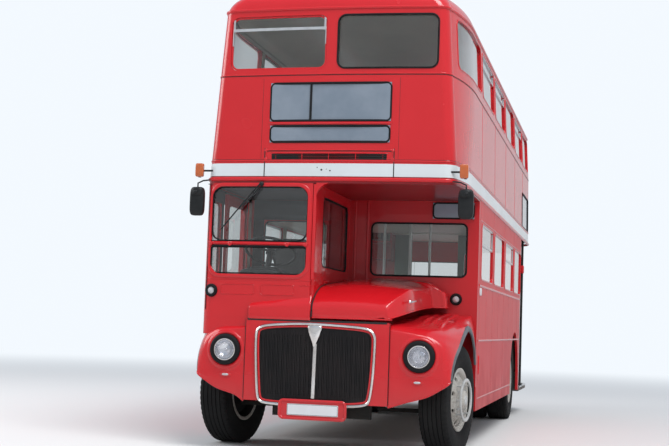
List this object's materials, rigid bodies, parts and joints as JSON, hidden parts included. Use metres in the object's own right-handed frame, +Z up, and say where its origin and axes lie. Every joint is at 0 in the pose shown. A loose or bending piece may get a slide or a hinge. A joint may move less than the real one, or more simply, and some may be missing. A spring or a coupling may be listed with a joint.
{
  "type": "double decker bus",
  "caption": "Half-cab double decker bus with an open rear platform, front radiator grille, steered front wheels, twin rear wheels, side bonnet, sliding cab door and upper emergency exit.",
  "frame": {"origin": "On the ground under the middle of the overall length and width.", "axes": "+Z is up, -Y is forwards, so the front faces -Y, and +X is the nearside, where the open platform and the bonnet are."},
  "size_m": [2.65, 8.382, 4.382],
  "materials": {
    "amber_lens": "amber lens",
    "black_mesh": "matt black mesh",
    "black_plastic": "matt black",
    "blank_display": "dark glazed box, blank",
    "bright_trim": "polished",
    "dark_paint": "satin underframe paint",
    "floor_covering": "ribbed floor covering",
    "iron": "painted castings",
    "lamp_glass": "fluted lamp glass in a black ring",
    "moquette": "woven seat cloth",
    "rail_steel": "brushed",
    "red_paint": "gloss coach paint",
    "seat_frame_paint": "stove enamel",
    "seat_leather": "black leathercloth",
    "tyre_rubber": "black rubber",
    "wheel_paint": "cream enamel, dusty",
    "white_paint": "gloss paint",
    "window_glass": "clear toughened glass"
  },
  "bodies": {
    "coach": {"axle_rear": "iron", "band_between_decks": "white_paint", "bonnet_side": "red_paint", "bulkhead_front": "red_paint", "bulkhead_rear": "red_paint", "cab_floor": "floor_covering", "cab_inner_wall": "red_paint", "cab_shell": "red_paint", "canopy": "red_paint", "display_boxes": "blank_display", "driver_seat": "seat_leather", "engine": "iron", "floor_lower": "floor_covering", "floor_upper": "floor_covering", "front_cowl": "red_paint", "glass_cab": "window_glass", "glass_lower": "window_glass", "glass_upper": "window_glass", "grille_frame": "bright_trim", "grille_mesh": "black_mesh", "handrails": "rail_steel", "headlamps": "lamp_glass", "indicators": "amber_lens", "mirrors_and_wiper": "black_plastic", "number_plate_panel": "red_paint", "platform": "floor_covering", "roof_domes": "red_paint", "roof_panels": "red_paint", "seat_cushions": "moquette", "seat_frames": "seat_frame_paint", "staircase": "floor_covering", "steering_column": "dark_paint", "subframe_front": "dark_paint", "underfloor_units": "iron", "vent_grille": "red_paint", "wall_lower_nearside": "red_paint", "wall_lower_offside": "red_paint", "wall_rear_lower": "red_paint", "wall_upper_front": "red_paint", "wall_upper_nearside": "red_paint", "wall_upper_offside": "red_paint", "wall_upper_rear": "red_paint", "wing_nearside": "red_paint", "wing_offside": "red_paint"},
    "knuckle_nearside": {"knuckle_front_nearside": "iron"},
    "knuckle_offside": {"knuckle_front_offside": "iron"},
    "front_wheel_nearside": {"rim_front_nearside": "wheel_paint", "tyre_front_nearside": "tyre_rubber"},
    "front_wheel_offside": {"rim_front_offside": "wheel_paint", "tyre_front_offside": "tyre_rubber"},
    "rear_wheels_nearside": {"rim_rear_nearside": "wheel_paint", "tyre_rear_nearside": "tyre_rubber"},
    "rear_wheels_offside": {"rim_rear_offside": "wheel_paint", "tyre_rear_offside": "tyre_rubber"},
    "bonnet": {"bonnet_lid": "red_paint"},
    "driver_door": {"cab_door": "red_paint", "cab_door_glass": "window_glass"},
    "emergency_exit": {"exit_flap": "red_paint", "exit_glass": "window_glass"},
    "steering": {"steering_wheel": "black_plastic"}
  },
  "joints": [
    {"name": "steer_nearside", "type": "hinge", "parent": "coach", "child": "knuckle_nearside", "pos_m": [0.93, -3.331, 0.507], "axis": [0, 0, 1], "range_deg": [-27, 43]},
    {"name": "steer_offside", "type": "hinge", "parent": "coach", "child": "knuckle_offside", "pos_m": [-0.93, -3.331, 0.507], "axis": [0, 0, 1], "range_deg": [-27, 43]},
    {"name": "spin_front_nearside", "type": "hinge", "parent": "knuckle_nearside", "child": "front_wheel_nearside", "pos_m": [0.93, -3.331, 0.507], "axis": [0.9903, -0.1392, 0], "continuous": true},
    {"name": "spin_front_offside", "type": "hinge", "parent": "knuckle_offside", "child": "front_wheel_offside", "pos_m": [-0.93, -3.331, 0.507], "axis": [0.9903, -0.1392, 0], "continuous": true},
    {"name": "spin_rear_nearside", "type": "hinge", "parent": "coach", "child": "rear_wheels_nearside", "pos_m": [1.035, 1.8, 0.507], "axis": [1, 0, 0], "continuous": true},
    {"name": "spin_rear_offside", "type": "hinge", "parent": "coach", "child": "rear_wheels_offside", "pos_m": [-1.035, 1.8, 0.507], "axis": [1, 0, 0], "continuous": true},
    {"name": "bonnet_hinge", "type": "hinge", "parent": "coach", "child": "bonnet", "pos_m": [-0.088, -3.811, 1.545], "axis": [0, -0.9979, -0.0641], "range_deg": [0, 50]},
    {"name": "driver_door_slide", "type": "slide", "parent": "coach", "child": "driver_door", "axis": [0, 1, 0], "range_m": [0, 0.56]},
    {"name": "exit_hinge", "type": "hinge", "parent": "coach", "child": "emergency_exit", "pos_m": [0, 4.13356, 3.982], "axis": [1, 0, 0], "range_deg": [0, 75]},
    {"name": "steering_turn", "type": "hinge", "parent": "coach", "child": "steering", "pos_m": [-0.68, -3.501, 1.84], "axis": [0, 0.4916, 0.8708], "range_deg": [-405, 645]}
  ],
  "couplings": [
    {"joint": "steer_offside", "follows": "steer_nearside", "ratio": 1},
    {"joint": "steering_turn", "follows": "steer_nearside", "ratio": 15}
  ]
}
